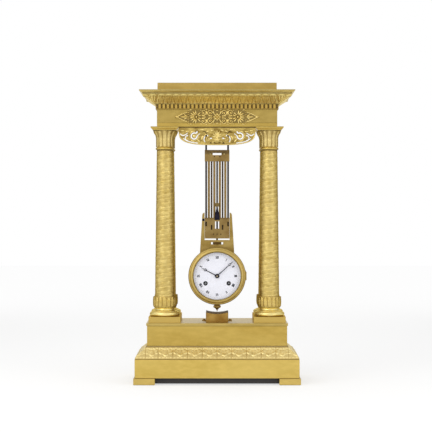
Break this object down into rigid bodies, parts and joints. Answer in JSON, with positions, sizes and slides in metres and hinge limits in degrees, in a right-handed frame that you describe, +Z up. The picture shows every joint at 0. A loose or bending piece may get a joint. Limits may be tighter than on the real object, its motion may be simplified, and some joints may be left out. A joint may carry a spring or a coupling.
{
  "type": "portico clock",
  "caption": "Gilt bronze portico clock: columns on a stepped plinth carry an entablature, and the clock drum swings between them as the bob of a gridiron pendulum.",
  "frame": {"origin": "centre of the footprint on the standing surface", "axes": "+Z up, dial faces -Y, +X to the right of a viewer facing the dial"},
  "size_m": [0.323, 0.191, 0.586],
  "materials": {
    "gilt_bronze": "fire-gilt bronze, satin with burnished edges",
    "brass": "fine-brushed lacquered brass",
    "steel": "polished steel",
    "blued_steel": "heat-blued steel",
    "enamel": "white vitreous enamel on copper",
    "glass": "clear domed glass",
    "ebonised_wood": "ebonised, wax polished",
    "bell_metal": "turned bell metal"
  },
  "bodies": {
    "case": {"sole_board": "ebonised_wood", "feet": "gilt_bronze", "base_block": "gilt_bronze", "base_leaf_moulding": "gilt_bronze", "plinth_block": "gilt_bronze", "plinth_slab": "gilt_bronze", "column_bases": "gilt_bronze", "column_collars": "gilt_bronze", "column_shafts": "gilt_bronze", "column_capitals": "gilt_bronze", "tie_rods": "steel", "architrave": "gilt_bronze", "frieze_box": "gilt_bronze", "frieze_mount": "gilt_bronze", "dentil_course": "gilt_bronze", "cornice_moulding": "gilt_bronze", "corona": "gilt_bronze", "attic_block": "gilt_bronze", "apron_fretwork": "gilt_bronze", "suspension_cock": "brass", "beat_scale": "brass", "case_screws": "brass"},
    "pendulum": {"knife_edge": "steel", "suspension_yoke": "steel", "hanger_rods": "steel", "gridiron_top_bar": "brass", "gridiron_steel_rods": "steel", "gridiron_brass_rods": "brass", "gridiron_lower_block": "brass", "index_collar": "brass", "expansion_index": "blued_steel", "rating_screw": "steel"},
    "drum": {"drum_yoke": "brass", "drum_case": "gilt_bronze", "drum_finial": "brass", "hinge_pins": "steel", "dial": "enamel", "movement_front_plate": "brass", "movement_back_plate": "brass", "bell": "bell_metal", "bell_stand": "steel"},
    "rating_nut": {"rating_nut": "brass"},
    "bezel": {"bezel": "gilt_bronze", "bezel_glass": "glass"},
    "rear_cover": {"rear_cover": "gilt_bronze"},
    "minute_hand": {"minute_hand": "blued_steel", "cannon_pinion": "steel"},
    "hour_hand": {"hour_hand": "blued_steel", "hour_wheel": "brass"},
    "minute_wheel": {"minute_wheel": "brass"},
    "third_wheel": {"third_wheel": "brass"},
    "centre_wheel": {"centre_wheel": "brass"},
    "intermediate_wheel": {"intermediate_wheel": "brass"},
    "going_barrel": {"going_barrel": "brass"},
    "escape_wheel": {"escape_wheel": "brass"},
    "anchor": {"anchor": "steel"},
    "going_winding_arbor": {"going_winding_arbor": "steel"},
    "strike_winding_arbor": {"strike_winding_arbor": "steel"},
    "strike_barrel": {"strike_barrel": "brass"},
    "hammer": {"hammer": "steel"}
  },
  "joints": [
    {"name": "pendulum_swing", "type": "hinge", "parent": "case", "child": "pendulum", "pos_m": [0, 0, 0.518], "axis": [0, 1, 0], "range_deg": [-2.5, 2.5]},
    {"name": "drum_lift", "type": "slide", "parent": "pendulum", "child": "drum", "axis": [0, 0, 1], "range_m": [-0.00075, 0.00075]},
    {"name": "rating_nut_turn", "type": "hinge", "parent": "drum", "child": "rating_nut", "pos_m": [0, 0, 0.27125], "axis": [0, 0, 1], "range_deg": [-540, 540]},
    {"name": "bezel_open", "type": "hinge", "parent": "drum", "child": "bezel", "pos_m": [0.0559, -0.0311, 0.2075], "axis": [0, 0, 1], "range_deg": [0, 90]},
    {"name": "rear_cover_open", "type": "hinge", "parent": "drum", "child": "rear_cover", "pos_m": [0.0559, 0.0311, 0.2075], "axis": [0, 0, -1], "range_deg": [0, 90]},
    {"name": "minute_hand_turn", "type": "hinge", "parent": "drum", "child": "minute_hand", "pos_m": [0, 0, 0.2075], "axis": [0, 1, 0], "continuous": true},
    {"name": "hour_hand_turn", "type": "hinge", "parent": "drum", "child": "hour_hand", "pos_m": [0, 0, 0.2075], "axis": [0, 1, 0], "continuous": true},
    {"name": "minute_wheel_turn", "type": "hinge", "parent": "drum", "child": "minute_wheel", "pos_m": [0, 0, 0.2195], "axis": [0, 1, 0], "continuous": true},
    {"name": "third_wheel_turn", "type": "hinge", "parent": "drum", "child": "third_wheel", "pos_m": [-0.00497, 0, 0.22114], "axis": [0, 1, 0], "continuous": true},
    {"name": "centre_wheel_turn", "type": "hinge", "parent": "drum", "child": "centre_wheel", "pos_m": [0, 0, 0.2075], "axis": [0, 1, 0], "continuous": true},
    {"name": "intermediate_wheel_turn", "type": "hinge", "parent": "drum", "child": "intermediate_wheel", "pos_m": [0.0147, 0, 0.21138], "axis": [0, 1, 0], "continuous": true},
    {"name": "going_barrel_turn", "type": "hinge", "parent": "drum", "child": "going_barrel", "pos_m": [0.0228, 0, 0.1931], "axis": [0, 1, 0], "continuous": true},
    {"name": "escape_wheel_turn", "type": "hinge", "parent": "drum", "child": "escape_wheel", "pos_m": [0, 0, 0.23337], "axis": [0, 1, 0], "continuous": true},
    {"name": "anchor_rock", "type": "hinge", "parent": "drum", "child": "anchor", "pos_m": [0, 0, 0.24587], "axis": [0, 1, 0], "range_deg": [-3, 3]},
    {"name": "going_winding_turn", "type": "hinge", "parent": "drum", "child": "going_winding_arbor", "pos_m": [0.0228, 0, 0.1931], "axis": [0, 1, 0], "range_deg": [0, 1800]},
    {"name": "strike_winding_turn", "type": "hinge", "parent": "drum", "child": "strike_winding_arbor", "pos_m": [-0.0228, 0, 0.1931], "axis": [0, 1, 0], "range_deg": [0, 1800]},
    {"name": "strike_barrel_turn", "type": "hinge", "parent": "drum", "child": "strike_barrel", "pos_m": [-0.0228, 0, 0.1931], "axis": [0, 1, 0], "continuous": true},
    {"name": "hammer_lift", "type": "hinge", "parent": "drum", "child": "hammer", "pos_m": [0.03, 0, 0.2335], "axis": [0, -1, 0], "range_deg": [0, 10]}
  ],
  "couplings": [
    {"joint": "rating_nut_turn", "follows": "drum_lift", "rad_per_m": 12566},
    {"joint": "hour_hand_turn", "follows": "minute_hand_turn", "ratio": 0.083333},
    {"joint": "minute_wheel_turn", "follows": "minute_hand_turn", "ratio": -0.33333},
    {"joint": "centre_wheel_turn", "follows": "third_wheel_turn", "ratio": -0.1},
    {"joint": "intermediate_wheel_turn", "follows": "third_wheel_turn", "ratio": 0.015152},
    {"joint": "going_barrel_turn", "follows": "third_wheel_turn", "ratio": -0.0021645},
    {"joint": "escape_wheel_turn", "follows": "third_wheel_turn", "ratio": -10}
  ]
}
